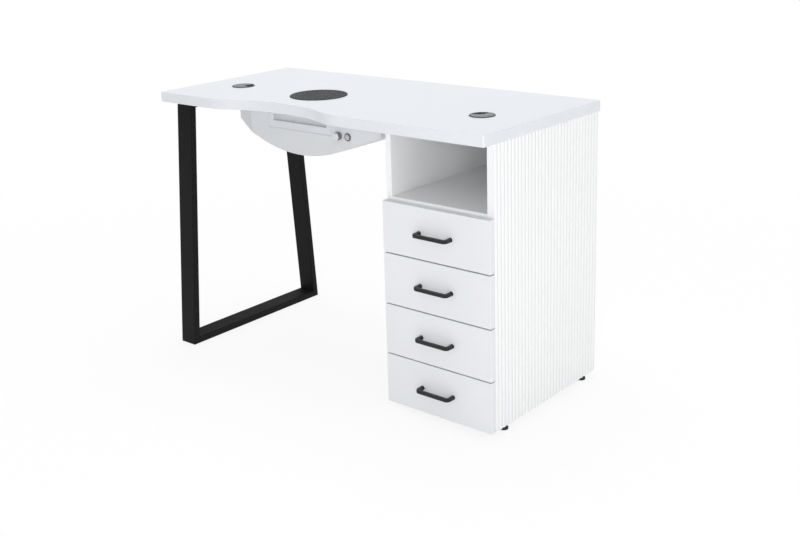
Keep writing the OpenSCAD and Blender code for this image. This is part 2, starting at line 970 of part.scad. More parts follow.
// Front plate with the filter drawer's opening and the holes of the knob and the switch
module collector_fascia() {
    color("#d6d8db")
        difference() {
            intersection() {
                collector_solid(0, 0);
                fascia_space(-snug);
            }
            translate([work_x - filter_w / 2 - loose, col_y0 - over, filter_z0 - loose])
                cube([filter_w + 2 * loose, col_wall + 2 * over, col_h]);
            at_controls(knob_x)
                translate([0, 0, -col_wall - over])
                    cylinder(d = spindle_d + 1, h = col_wall + 2 * over, $fn = 32);
            at_controls(button_x)
                translate([0, 0, -col_wall - over])
                    cylinder(d = thread_d + 2 * snug, h = col_wall + 2 * over, $fn = 48);
        }
}

module collector_screws() {
    color("silver")
        at_lugs() {
            translate([0, 0, -lug_t - col_head_h])
                cylinder(d = col_head_d, h = col_head_h, $fn = 32);
            translate([0, 0, -lug_t - 1])
                cylinder(d = col_screw_d, h = lug_t + 1 + pilot_deep - 2, $fn = 24);
        }
}

// Face with a finger slot, and the open-bottomed tray behind it
module filter_drawer() {
    tray_in_w = tray_w - 2 * tray_wall;
    tray_in_len = filter_len - tray_wall;
    color("#d6d8db")
        translate([work_x, 0, filter_z0]) {
            difference() {
                translate([-filter_w / 2, col_y0, 0])
                    cube([filter_w, face_t, filter_h]);
                translate([-grip_w / 2, col_y0 - over, grip_rise])
                    cube([grip_w, grip_depth + over, grip_h]);
            }
            difference() {
                translate([-tray_w / 2, tray_y0 - over, 0])
                    cube([tray_w, filter_len + over, tray_h]);
                translate([-tray_in_w / 2, tray_y0 - 2 * over, tray_wall])
                    cube([tray_in_w, tray_in_len + 2 * over, tray_h]);
                translate([-tray_in_w / 2 + tray_ledge, tray_y0 + tray_ledge, -over])
                    cube([tray_in_w - 2 * tray_ledge, tray_in_len - 2 * tray_ledge, tray_h]);
            }
            for (k = [1 : 3])
                translate([-tray_in_w / 2 + k * tray_in_w / 4 - 2, tray_y0, 0])
                    cube([4, tray_in_len, tray_wall]);
        }
}

// Outline of one folded sheet: up its front side and back along the other
function pleat_line(dy) = [
    for (k = [0 : 2 * pleat_n])
        [(k / pleat_n - 1) * (tray_w / 2 - tray_wall - loose - cassette_rim),
         dy + (k % 2) * (pleat_h - pleat_t)]
];

// Frame with pleated filter paper
module filter_cassette() {
    w = tray_w - 2 * tray_wall - 2 * loose;
    len = filter_len - tray_wall - 2 * loose;
    there = pleat_line(pleat_t);
    back = pleat_line(0);
    count = len(there);
    color("ivory")
        translate([work_x, tray_y0 + loose, filter_z0 + tray_wall]) {
            difference() {
                translate([-w / 2, 0, 0])
                    cube([w, len, cassette_h]);
                translate([-w / 2 + cassette_rim, cassette_rim, -over])
                    cube([w - 2 * cassette_rim, len - 2 * cassette_rim, cassette_h + 2 * over]);
            }
            translate([0, len - cassette_rim / 2, 4])
                rotate([90, 0, 0])
                    linear_extrude(len - cassette_rim)
                        polygon(concat(there, [for (k = [1 : count]) back[count - k]]));
        }
}

// Plate that parts the filter chamber from the fan chamber, with the fan's inlet ring and
// two front notches that clear the knob's potentiometer and the switch
module fan_plate() {
    notch_x = filter_w / 2 + 4;
    color("lightgray")
        difference() {
            union() {
                intersection() {
                    collector_solid(col_wall + loose, 0);
                    translate([work_x - plate_w / 2, col_y0, plate_z0])
                        cube([plate_w, col_depth, plate_t]);
                }
                translate([work_x, fittings_at, plate_z0 - 6])
                    cylinder(d = inlet_d + 6, h = 6 + plate_t);
            }
            translate([work_x, fittings_at, plate_z0 - 6 - over])
                cylinder(d = inlet_d, h = 6 + plate_t + 2 * over);
            for (side = [0, 1])
                translate([work_x, 0, 0])
                    mirror([side, 0, 0])
                        translate([notch_x, col_y0, plate_z0 - over])
                            cube([plate_w, thread_l + 2, plate_t + 2 * over]);
        }
}

module fan_motor() {
    color("#33363a")
        translate([work_x, fittings_at, motor_z0])
            difference() {
                union() {
                    cylinder(d = motor_d, h = motor_h);
                    cylinder(d = 14, h = motor_h + 2);
                }
                translate([0, 0, 4])
                    cylinder(d = shaft_d + 2 * snug, h = motor_h, $fn = 48);
            }
}

module fan_shaft() {
    color("silver")
        translate([work_x, fittings_at, motor_z0 + 4 + loose])
            cylinder(d = shaft_d, h = shaft_l, $fn = 48);
}

// Fan wheel: back disc, hub, straight leaning blades and a shroud ring
module fan_impeller() {
    r = fan_d / 2;
    blade_in = inlet_d / 2 + 5;
    color("#3a3d40")
        translate([work_x, fittings_at, fan_z0]) {
            difference() {
                union() {
                    cylinder(d = fan_d, h = fan_disc_t);
                    cylinder(d = hub_d, h = hub_h);
                }
                translate([0, 0, -over])
                    cylinder(d = shaft_d + 2 * snug, h = hub_h + 2 * over, $fn = 48);
            }
            for (i = [0 : blade_n - 1])
                rotate([0, 0, i * 360 / blade_n])
                    translate([(r + blade_in) / 2, 0, fan_disc_t - 0.5])
                        rotate([0, 0, 40])
                            translate([-(r - blade_in) / 2, -blade_t / 2, 0])
                                cube([r - blade_in, blade_t, blade_h + 1]);
            translate([0, 0, fan_disc_t + blade_h])
                difference() {
                    cylinder(d = fan_d, h = fan_disc_t);
                    translate([0, 0, -over])
                        cylinder(r = blade_in - 1, h = fan_disc_t + 2 * over);
                }
        }
}

// Body of the speed potentiometer behind the fascia
module speed_control() {
    color("#3f4a3f")
        at_controls(knob_x)
            difference() {
                translate([0, 0, -col_wall - pot_l])
                    cylinder(d = pot_d, h = pot_l, $fn = 48);
                translate([0, 0, -spindle_l - 2])
                    cylinder(d = spindle_d + 2 * snug, h = spindle_l, $fn = 48);
            }
}

module control_board() {
    color("darkgreen")
        at_controls(knob_x)
            translate([-pcb_w / 2 - 2, -pcb_h / 2, -col_wall - pot_l - pcb_t])
                cube([pcb_w, pcb_h, pcb_t]);
}

// Knob with a grip all round, a pointer groove and its spindle
module speed_knob() {
    flutes = 24;
    color("silver")
        at_controls(knob_x) {
            difference() {
                union() {
                    translate([0, 0, loose])
                        cylinder(d = knob_d, h = knob_h - 1 - loose);
                    translate([0, 0, knob_h - 1])
                        cylinder(d1 = knob_d, d2 = knob_d - 2, h = 1);
                }
                for (i = [0 : flutes - 1])
                    rotate([0, 0, i * 360 / flutes])
                        translate([knob_d / 2 + 0.3, 0, 3])
                            cylinder(r = 0.9, h = knob_h, $fn = 24);
                translate([-0.6, knob_d / 2 - 6, knob_h - 0.8])
                    cube([1.2, 6, 2]);
            }
            translate([0, 0, -spindle_l])
                cylinder(d = spindle_d, h = spindle_l + 1, $fn = 48);
        }
}

// Bezel and threaded body of the push switch
module switch_body() {
    color("silver")
        at_controls(button_x)
            difference() {
                union() {
                    cylinder(d = bezel_d, h = bezel_t - 0.8);
                    translate([0, 0, bezel_t - 0.8])
                        cylinder(d1 = bezel_d, d2 = bezel_d - 1.6, h = 0.8);
                    translate([0, 0, -thread_l])
                        cylinder(d = thread_d, h = thread_l + 1);
                }
                translate([0, 0, bezel_t + plunger_out - plunger_l - button_travel - 1])
                    cylinder(d = plunger_d + 2 * snug, h = plunger_l + button_travel + 2, $fn = 64);
            }
}

module power_button() {
    color("silver")
        at_controls(button_x)
            translate([0, 0, bezel_t + plunger_out - plunger_l])
                difference() {
                    union() {
                        cylinder(d = plunger_d, h = plunger_l - 0.5, $fn = 64);
                        translate([0, 0, plunger_l - 0.5])
                            cylinder(d1 = plunger_d, d2 = plunger_d - 1, h = 0.5, $fn = 64);
                    }
                    translate([0, 0, plunger_l - 0.5])
                        difference() {
                            cylinder(d = 7, h = 1, $fn = 48);
                            cylinder(d = 5.6, h = 1, $fn = 48);
                        }
                }
}

// Slotted cover over the exhaust in the housing's back
module exhaust_cover() {
    w = exhaust_w + 2 * exhaust_lip;
    h = exhaust_h + 2 * exhaust_lip;
    pitch = exhaust_w / louvre_n;
    color("#c9cbce")
        translate([work_x, col_y1, exhaust_z])
            difference() {
                translate([-w / 2, 0, -h / 2])
                    cube([w, exhaust_t, h]);
                for (k = [0 : louvre_n - 1])
                    translate([(k + 0.5) * pitch - exhaust_w / 2 - louvre_w / 2, -over,
                               -exhaust_h / 2 + 2])
                        cube([louvre_w, exhaust_t + 2 * over, exhaust_h - 4]);
            }
}

// Gland for the power cord in the housing's back
module cord_gland() {
    nose = 8;
    nut_t = 4;
    color("#26272a")
        translate([work_x + gland_x, col_y1, gland_z])
            rotate([-90, 0, 0])
                difference() {
                    union() {
                        cylinder(d = gland_flange_d, h = 3);
                        cylinder(d = gland_body_d - 2, h = 3 + nose);
                        translate([0, 0, -col_wall - over])
                            cylinder(d = gland_body_d, h = col_wall + 2 * over);
                        translate([0, 0, -col_wall - nut_t])
                            cylinder(d = gland_flange_d, h = nut_t);
                    }
                    translate([0, 0, -col_wall - nut_t - over])
                        cylinder(d = gland_bore_d, h = col_wall + nut_t + nose + 3 + 2 * over,
                                 $fn = 48);
                }
}

table_top();
edge_band();
grommet_sleeve(-1);  // grommet_sleeve_left
grommet_sleeve(1);  // grommet_sleeve_right
grommet_cap(-1, 30);  // grommet_cap_left
grommet_cap(1, 140);  // grommet_cap_right
grille();
grille_collar();
leg_front_post();
leg_rear_post();
leg_foot_bar();
leg_top_bar();
leg_screws();
side_panel(-1);  // cabinet_side_left
side_panel(1);  // cabinet_side_right
cabinet_cladding();
cabinet_back();
cabinet_bottom();
niche_shelf();
cabinet_feet();
cabinet_brackets();
cabinet_screws();
cabinet_runners();
drawer_front(1);  // drawer_1_front
drawer_front(2);  // drawer_2_front
drawer_front(3);  // drawer_3_front
drawer_front(4);  // drawer_4_front
drawer_box(1);  // drawer_1_box
drawer_box(2);  // drawer_2_box
drawer_box(3);  // drawer_3_box
drawer_box(4);  // drawer_4_box
drawer_bottom(1);  // drawer_1_bottom
drawer_bottom(2);  // drawer_2_bottom
drawer_bottom(3);  // drawer_3_bottom
drawer_bottom(4);  // drawer_4_bottom
drawer_handle(1);  // drawer_1_handle
drawer_handle(2);  // drawer_2_handle
drawer_handle(3);  // drawer_3_handle
drawer_handle(4);  // drawer_4_handle
drawer_fittings(1);  // drawer_1_fittings
drawer_fittings(2);  // drawer_2_fittings
drawer_fittings(3);  // drawer_3_fittings
drawer_fittings(4);  // drawer_4_fittings
collector_shell();
collector_fascia();
collector_screws();
filter_drawer();
filter_cassette();
fan_plate();
fan_motor();
fan_shaft();
fan_impeller();
speed_control();
control_board();
speed_knob();
switch_body();
power_button();
exhaust_cover();
cord_gland();
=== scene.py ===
from math import atan, cos, pi, radians, sin, sqrt, tan

import bmesh
import bpy
from mathutils import Matrix, Vector
from mathutils.geometry import tessellate_polygon


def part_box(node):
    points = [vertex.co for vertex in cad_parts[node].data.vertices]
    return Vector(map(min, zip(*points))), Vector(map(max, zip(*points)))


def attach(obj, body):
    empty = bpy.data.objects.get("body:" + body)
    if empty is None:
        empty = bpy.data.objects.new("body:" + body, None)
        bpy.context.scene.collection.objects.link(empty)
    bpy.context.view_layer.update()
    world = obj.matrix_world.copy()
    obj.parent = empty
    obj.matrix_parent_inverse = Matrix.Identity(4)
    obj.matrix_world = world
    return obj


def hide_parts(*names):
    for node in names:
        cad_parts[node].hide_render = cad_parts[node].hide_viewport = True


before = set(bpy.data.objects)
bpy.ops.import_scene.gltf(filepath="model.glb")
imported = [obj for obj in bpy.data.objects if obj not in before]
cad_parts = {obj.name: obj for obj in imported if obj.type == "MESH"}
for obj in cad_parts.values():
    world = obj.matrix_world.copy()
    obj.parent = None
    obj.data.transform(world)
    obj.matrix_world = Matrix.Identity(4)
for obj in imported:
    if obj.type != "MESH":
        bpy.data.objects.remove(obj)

# manicure table: board top with a wave, flat-tube leg frame, ribbed drawer cabinet, dust collector
scene = bpy.context.scene
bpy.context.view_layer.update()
mm = 0.001
weldWithin = 0.0001 * mm


view = {
    "place": (2.047, -2.323, 1.306),
    "turn": 40.9,       # degrees to the left of straight ahead
    "down": 14.25,
    "roll": -1.87,
    "lens": 51.6,
    "sensor": 36,
    "shift": (0.0237, -0.11),
}


def makeCamera():
    data = bpy.data.cameras.new("camera")
    data.lens = view["lens"]
    data.sensor_width = view["sensor"]
    data.shift_x, data.shift_y = view["shift"]
    camera = bpy.data.objects.new("camera", data)
    scene.collection.objects.link(camera)
    camera.location = view["place"]
    turn, down, roll = (radians(view[k]) for k in ("turn", "down", "roll"))
    look = Matrix.Rotation(turn, 4, "Z") @ Matrix.Rotation(pi / 2 - down, 4, "X")
    camera.rotation_euler = (look @ Matrix.Rotation(roll, 4, "Z")).to_euler()
    scene.camera = camera


makeCamera()
print("camera placed")


def nodeGroup(name, inputs, outputs):
    group = bpy.data.node_groups.new(name, "ShaderNodeTree")
    for label, kind, value in inputs:
        socket = group.interface.new_socket(label, in_out="INPUT", socket_type=kind)
        socket.default_value = value
    for label, kind in outputs:
        group.interface.new_socket(label, in_out="OUTPUT", socket_type=kind)
    start = group.nodes.new("NodeGroupInput")
    end = group.nodes.new("NodeGroupOutput")
    return group, start, end


def wire(tree, kind, feeds=(), **settings):
    # makes a node, sets what is given by name, and joins or fills its inputs
    made = tree.nodes.new(kind)
    for key, value in settings.items():
        setattr(made, key, value)
    for socket, source in dict(feeds).items():
        if isinstance(source, bpy.types.NodeSocket):
            tree.links.new(source, made.inputs[socket])
        else:
            made.inputs[socket].default_value = source
    return made


def mathNode(tree, operation, a, b, clamp=False):
    return wire(tree, "ShaderNodeMath", {0: a, 1: b}, operation=operation, use_clamp=clamp).outputs[0]


def rangeNode(tree, value, fromLow, fromHigh, toLow, toHigh):
    feeds = {"Value": value, "From Min": fromLow, "From Max": fromHigh, "To Min": toLow, "To Max": toHigh}
    return wire(tree, "ShaderNodeMapRange", feeds).outputs["Result"]


def makeToneGroup():
    # slow drift between two colours over a surface
    group, start, end = nodeGroup(
        "surfaceTone",
        [("Color", "NodeSocketColor", (0.8, 0.8, 0.8, 1)), ("Second", "NodeSocketColor", (0.7, 0.7, 0.7, 1)),
         ("Scale", "NodeSocketFloat", 6.0), ("Amount", "NodeSocketFloat", 0.5)],
        [("Color", "NodeSocketColor"), ("Drift", "NodeSocketFloat")])
    place = wire(group, "ShaderNodeTexCoord").outputs["Object"]
    broad = wire(group, "ShaderNodeTexNoise", {"Vector": place, "Scale": start.outputs["Scale"],
                                             "Detail": 4.0})
    drift = rangeNode(group, broad.outputs["Fac"], 0.35, 0.65, 0.0, 1.0)
    share = mathNode(group, "MULTIPLY", drift, start.outputs["Amount"], True)
    mixed = wire(group, "ShaderNodeMix", {0: share, 6: start.outputs["Color"], 7: start.outputs["Second"]},
                 data_type="RGBA")
    group.links.new(mixed.outputs[2], end.inputs["Color"])
    group.links.new(drift, end.inputs["Drift"])
    return group


def makeGrainGroup():
    # fine orange peel and specks, with a stretch for brushed or drawn surfaces
    group, start, end = nodeGroup(
        "fineGrain",
        [("Scale", "NodeSocketFloat", 900.0), ("Stretch", "NodeSocketVector", (1, 1, 1)),
         ("Speck Scale", "NodeSocketFloat", 260.0)],
        [("Height", "NodeSocketFloat"), ("Specks", "NodeSocketFloat")])
    place = wire(group, "ShaderNodeTexCoord").outputs["Object"]
    drawn = wire(group, "ShaderNodeVectorMath", {0: place, 1: start.outputs["Stretch"]}, operation="MULTIPLY")
    fine = wire(group, "ShaderNodeTexNoise", {"Vector": drawn.outputs[0], "Scale": start.outputs["Scale"],
                                              "Detail": 3.0, "Roughness": 0.6})
    speck = wire(group, "ShaderNodeTexVoronoi",
                 {"Vector": drawn.outputs[0], "Scale": start.outputs["Speck Scale"]})
    group.links.new(fine.outputs["Fac"], end.inputs["Height"])
    group.links.new(rangeNode(group, speck.outputs["Distance"], 0.05, 0.3, 1.0, 0.0), end.inputs["Specks"])
    return group


def makeWearGroup():
    # mask along worn edges, broken up by noise
    group, start, end = nodeGroup(
        "edgeWear",
        [("Radius", "NodeSocketFloat", 0.0015), ("Breakup", "NodeSocketFloat", 40.0)],
        [("Mask", "NodeSocketFloat")])
    flat = wire(group, "ShaderNodeNewGeometry").outputs["Normal"]
    bent = wire(group, "ShaderNodeBevel", {"Radius": start.outputs["Radius"]}, samples=4).outputs["Normal"]
    same = wire(group, "ShaderNodeVectorMath", {0: flat, 1: bent}, operation="DOT_PRODUCT").outputs["Value"]
    edge = rangeNode(group, same, 0.995, 0.85, 0.0, 1.0)
    place = wire(group, "ShaderNodeTexCoord").outputs["Object"]
    noise = wire(group, "ShaderNodeTexNoise",
                 {"Vector": place, "Scale": start.outputs["Breakup"], "Detail": 5.0})
    patchy = rangeNode(group, noise.outputs["Fac"], 0.42, 0.6, 0.0, 1.0)
    group.links.new(mathNode(group, "MULTIPLY", edge, patchy, True), end.inputs["Mask"])
    return group


def makeDustGroup():
    # dust that settles on faces turned upwards
    group, start, end = nodeGroup(
        "settledDust", [("Scale", "NodeSocketFloat", 55.0)], [("Mask", "NodeSocketFloat")])
    normal = wire(group, "ShaderNodeNewGeometry").outputs["Normal"]
    up = wire(group, "ShaderNodeSeparateXYZ", {0: normal}).outputs["Z"]
    place = wire(group, "ShaderNodeTexCoord").outputs["Object"]
    noise = wire(group, "ShaderNodeTexNoise",
                 {"Vector": place, "Scale": start.outputs["Scale"], "Detail": 6.0})
    facing = rangeNode(group, up, 0.3, 0.95, 0.0, 1.0)
    patchy = rangeNode(group, noise.outputs["Fac"], 0.4, 0.7, 0.2, 1.0)
    group.links.new(mathNode(group, "MULTIPLY", facing, patchy, True), end.inputs["Mask"])
    return group


groups = {
    "tone": makeToneGroup(),
    "grain": makeGrainGroup(),
    "wear": makeWearGroup(),
    "dust": makeDustGroup(),
}
print("node groups made")


usual = {
    "color": (0.8, 0.8, 0.8), "second": None, "toneScale": 6.0, "toneAmount": 0.5,
    "rough": (0.4, 0.5), "metal": 0.0, "specular": 0.5,
    "grainScale": 900.0, "stretch": (1, 1, 1), "bump": 0.05, "bumpDepth": 0.0002, "speckScale": 260.0,
    "specks": 0.0, "wear": 0.2, "wearColor": (0.6, 0.6, 0.6), "wearRadius": 0.0012,
    "dust": 0.05, "dustColor": (0.62, 0.6, 0.57), "dustDulls": 0.5,
}


def makeFinish(name, changes):
    own = {**usual, **changes}
    second = own["second"] or tuple(c * 0.93 for c in own["color"])
    material = bpy.data.materials.new(name)
    material.use_nodes = True
    tree = material.node_tree
    shader = tree.nodes["Principled BSDF"]
    shader.inputs["Metallic"].default_value = own["metal"]
    shader.inputs["Specular IOR Level"].default_value = own["specular"]
    place = {k: wire(tree, "ShaderNodeGroup", node_tree=g) for k, g in groups.items()}
    tone, grain, wear, dust = (place[k] for k in ("tone", "grain", "wear", "dust"))
    tone.inputs["Color"].default_value = (*own["color"], 1)
    tone.inputs["Second"].default_value = (*second, 1)
    tone.inputs["Scale"].default_value = own["toneScale"]
    tone.inputs["Amount"].default_value = own["toneAmount"]
    grain.inputs["Scale"].default_value = own["grainScale"]
    grain.inputs["Stretch"].default_value = own["stretch"]
    grain.inputs["Speck Scale"].default_value = own["speckScale"]
    wear.inputs["Radius"].default_value = own["wearRadius"]
    wearShare = mathNode(tree, "MULTIPLY", wear.outputs["Mask"], own["wear"])
    dustShare = mathNode(tree, "MULTIPLY", dust.outputs["Mask"], own["dust"])
    speckShare = mathNode(tree, "MULTIPLY", grain.outputs["Specks"], own["specks"])

    def over(base, share, color):
        mixed = wire(tree, "ShaderNodeMix", {0: share, 6: base, 7: (*color, 1)}, data_type="RGBA")
        return mixed.outputs[2]

    color = over(tone.outputs["Color"], speckShare, tuple(c * 0.6 for c in own["color"]))
    color = over(color, wearShare, own["wearColor"])
    color = over(color, dustShare, own["dustColor"])
    low, high = own["rough"]
    uneven = mathNode(tree, "ADD", tone.outputs["Drift"], grain.outputs["Height"])
    rough = rangeNode(tree, uneven, 0.3, 1.5, low, high)
    dull = mathNode(tree, "MULTIPLY", dustShare, own["dustDulls"])
    rough = mathNode(tree, "ADD", rough, dull, True)
    bump = wire(tree, "ShaderNodeBump",
                {"Strength": own["bump"], "Distance": own["bumpDepth"], "Height": grain.outputs["Height"]})
    tree.links.new(color, shader.inputs["Base Color"])
    tree.links.new(rough, shader.inputs["Roughness"])
    tree.links.new(bump.outputs["Normal"], shader.inputs["Normal"])
    return material


white = {"wearColor": (0.7, 0.69, 0.67), "dust": 0.03, "bump": 0.02, "grainScale": 320.0}
calmWhite = {**white, "bump": 0.004}      # for faces seen at a low angle
finishValues = {
    "topLaminate": dict(
        color=(0.82, 0.84, 0.87), second=(0.795, 0.815, 0.85), toneScale=2.2,
        rough=(0.32, 0.4), toneAmount=0.4, **{**calmWhite, "dust": 0.0, "wear": 0.1}),
    "bandPlastic": dict(
        color=(0.75, 0.765, 0.795), rough=(0.3, 0.4), toneScale=9.0, toneAmount=0.3,
        **white),
    "boardLaminate": dict(
        color=(0.88, 0.885, 0.885), rough=(0.38, 0.5), toneScale=3.0, **white),
    "ribLacquer": dict(
        color=(0.84, 0.84, 0.84), second=(0.815, 0.82, 0.82), rough=(0.4, 0.48),
        toneScale=2.0, wear=0.0, **calmWhite),
    "frontLaminate": dict(
        color=(0.77, 0.78, 0.795), rough=(0.3, 0.42), toneScale=3.5, toneAmount=0.4,
        **white),
    "drawerBoard": dict(
        color=(0.66, 0.66, 0.65), rough=(0.5, 0.62), grainScale=500.0,
        stretch=(1, 0.1, 1), specks=0.1, bump=0.2),
    "blackCoat": dict(
        color=(0.006, 0.0061, 0.0066), second=(0.0075, 0.0076, 0.0084), rough=(0.5, 0.62),
        specular=0.14, grainScale=1400.0, bump=0.35, wear=0.35, wearColor=(0.05, 0.05, 0.053), dust=0.0),
    "blackHandle": dict(
        color=(0.012, 0.0124, 0.014), rough=(0.36, 0.48), specular=0.35,
        grainScale=1600.0, bump=0.25, wear=0.4, wearColor=(0.06, 0.06, 0.066), dust=0.02),
    "zincSteel": dict(
        color=(0.6, 0.61, 0.63), second=(0.5, 0.51, 0.54), metal=1.0, rough=(0.28, 0.45),
        grainScale=700.0, stretch=(1, 0.05, 1), toneScale=30.0, dust=0.03),
    "screwSteel": dict(
        color=(0.62, 0.62, 0.64), metal=1.0, rough=(0.25, 0.4), toneScale=90.0),
    "blackPlastic": dict(
        color=(0.02, 0.02, 0.021), rough=(0.45, 0.6), bump=0.3,
        wearColor=(0.07, 0.07, 0.07)),
    "whitePlastic": dict(
        color=(0.74, 0.74, 0.73), rough=(0.4, 0.5), bump=0.2),
    "grommetRing": dict(
        color=(0.035, 0.038, 0.042), rough=(0.32, 0.44), bump=0.2,
        wearColor=(0.2, 0.2, 0.21), dust=0.04, grainScale=1600.0),
    "grommetCap": dict(
        color=(0.27, 0.29, 0.3), second=(0.23, 0.25, 0.26), rough=(0.3, 0.4), metal=0.25,
        toneScale=60.0, bump=0.2, wearColor=(0.42, 0.43, 0.44), grainScale=1600.0),
    "grilleCoat": dict(
        color=(0.018, 0.02, 0.022), second=(0.014, 0.015, 0.018), rough=(0.4, 0.55),
        specular=0.3, bump=0.3, wear=0.3, wearColor=(0.1, 0.105, 0.11), dust=0.05, grainScale=1600.0),
    # paler finish for the bars' flat tops: painted light, standing in for the light they catch
    "grilleBarTopsPaintedLight": dict(
        color=(0.2, 0.21, 0.225), second=(0.175, 0.185, 0.2), rough=(0.4, 0.55),
        specular=0.4, bump=0.2, wear=0.1, wearColor=(0.3, 0.31, 0.32), dust=0.05, grainScale=1600.0),
    "liningPlastic": dict(
        color=(0.035, 0.036, 0.04), rough=(0.5, 0.6), bump=0.3),
    "housingPlastic": dict(
        color=(0.66, 0.67, 0.69), second=(0.63, 0.64, 0.66), rough=(0.38, 0.5),
        bump=0.25, grainScale=1300.0, dust=0.03, wearColor=(0.78, 0.78, 0.78)),
    "filterPaper": dict(
        color=(0.72, 0.7, 0.62), second=(0.66, 0.63, 0.54), rough=(0.8, 0.95), bump=0.5,
        bumpDepth=0.0005, grainScale=420.0, specks=0.25, dust=0.3, specular=0.2),
    "fanPlastic": dict(
        color=(0.05, 0.052, 0.056), rough=(0.4, 0.55), bump=0.25, dust=0.2),
    "motorMetal": dict(
        color=(0.09, 0.092, 0.098), metal=0.6, rough=(0.4, 0.5), bump=0.2),
    "shaftSteel": dict(
        color=(0.62, 0.62, 0.64), metal=1.0, rough=(0.16, 0.28), stretch=(1, 1, 0.05),
        grainScale=1500.0),
    "boardLacquer": dict(
        color=(0.02, 0.13, 0.05), second=(0.04, 0.2, 0.08), rough=(0.25, 0.4),
        toneScale=160.0, toneAmount=0.9, specks=0.4, speckScale=420.0),
    "knobAluminium": dict(
        color=(0.74, 0.75, 0.77), metal=1.0, rough=(0.2, 0.32), grainScale=2600.0,
        stretch=(1, 0.04, 1), bump=0.3, wear=0.3, wearColor=(0.9, 0.9, 0.9), toneScale=80.0),
    # darker copy of the knob's metal for its fluted side: painted shade
    "knobSidePaintedShade": dict(
        color=(0.27, 0.275, 0.285), metal=0.7, rough=(0.35, 0.5), bump=0.2,
        wearColor=(0.4, 0.4, 0.41), wear=0.4, toneScale=80.0),
    "switchRing": dict(
        color=(0.2, 0.205, 0.21), metal=0.8, rough=(0.25, 0.35), bump=0.2,
        wearColor=(0.4, 0.4, 0.41), toneScale=80.0),
    "switchMetal": dict(
        color=(0.56, 0.57, 0.6), metal=1.0, rough=(0.18, 0.3), grainScale=2200.0,
        stretch=(1, 0.04, 1), bump=0.2, toneScale=80.0),
}
finishes = {name: makeFinish(name, changes) for name, changes in finishValues.items()}
print(f"{len(finishes)} finishes made")


def softCorners(points, radius, steps):
    # rounds the corners of a closed outline; the radius gives way to short sides
    made = []
    for i, corner in enumerate(points):
        here, before, after = (Vector(p) for p in (corner, points[i - 1], points[(i + 1) % len(points)]))
        into, out = (before - here), (after - here)
        bend = into.angle(out, pi)
        if bend > pi - 0.05 or radius <= 0:
            made.append(tuple(here))
            continue
        back = min(radius / tan(bend / 2), into.length * 0.45, out.length * 0.45)
        reach = back * tan(bend / 2)
        a, b = here + into.normalized() * back, here + out.normalized() * back
        centre = here + (into.normalized() + out.normalized()).normalized() * (reach / sin(bend / 2))
        for k in range(steps + 1):
            spot = a.lerp(b, k / steps) - centre
            made.append(tuple(centre + spot.normalized() * reach))
    return made


def area(outline):
    return sum(a[0] * b[1] - b[0] * a[1] for a, b in zip(outline, outline[1:] + outline[:1])) / 2


def inset(outline, by):
    # moves every side of an outline to its left; a very sharp corner moves less
    made = []
    for i, here in enumerate(outline):
        before, after = outline[i - 1], outline[(i + 1) % len(outline)]
        a = (Vector(here) - Vector(before)).normalized()
        b = (Vector(after) - Vector(here)).normalized()
        left = Vector((-a.y, a.x)) + Vector((-b.y, b.x))
        made.append(tuple(Vector(here) + left * (by / max(0.35, 1 + a.dot(b)))))
    return made


def circle(radius, centre, steps=96):
    turns = [2 * pi * k / steps for k in range(steps)]
    return [(centre[0] + radius * cos(a), centre[1] + radius * sin(a)) for a in turns]


def rectangle(x0, y0, x1, y1):
    return [(x0, y0), (x1, y0), (x1, y1), (x0, y1)]


def bridge(bm, first, second):
    for i in range(len(first)):
        j = (i + 1) % len(first)
        bm.faces.new((first[i], first[j], second[j], second[i]))


def plate(bm, outer, holes, low, high, radius, place=None, steps=3):
    # board between two heights with rounded edges; holes go right through
    place = place or Matrix.Identity(4)
    loops = [outer if area(outer) > 0 else outer[::-1]] + [h if area(h) < 0 else h[::-1] for h in holes]
    levels = [(radius * (1 - sin(pi / 2 * k / steps)), low + radius * (1 - cos(pi / 2 * k / steps)))
              for k in range(steps + 1)]
    levels += [(by, high + low - z) for by, z in reversed(levels)]
    rings = []
    for loop in loops:
        rings.append([[bm.verts.new(place @ Vector((*p, z))) for p in inset(loop, by)] for by, z in levels])
        for a, b in zip(rings[-1], rings[-1][1:]):
            bridge(bm, a, b)
    for level, turned in ((0, True), (-1, False)):
        verts = [v for ring in rings for v in ring[level]]
        flat = [[Vector((*p, 0)) for p in inset(loop, levels[level][0])] for loop in loops]
        for tri in tessellate_polygon(flat):
            corners = [verts[k] for k in tri]
            if len(set(corners)) == 3:
                a, b, c = (place.inverted() @ v.co for v in corners)
                up = (b - a).cross(c - a).z > 0
                bm.faces.new(corners[::-1] if up == turned else corners)


def lathe(bm, profile, place, steps, radius=0.0):
    # turns a closed outline of (radius, height) points round the Z axis
    outline = softCorners(profile, radius, 3) if radius else profile
    rings = []
    for k in range(steps):
        a = 2 * pi * k / steps
        rings.append([bm.verts.new(place @ Vector((r * cos(a), r * sin(a), z))) for r, z in outline])
    for k in range(steps):
        bridge(bm, rings[k], rings[(k + 1) % steps])
    bmesh.ops.remove_doubles(bm, verts=[v for ring in rings for v in ring], dist=weldWithin)


def solidOfPoints(bm, rings):
    # joins rings of points into one skin, closed at both ends
    made = [[bm.verts.new(p) for p in ring] for ring in rings]
    for a, b in zip(made, made[1:]):
        bridge(bm, a, b)
    bm.faces.new(made[0][::-1])
    bm.faces.new(made[-1])


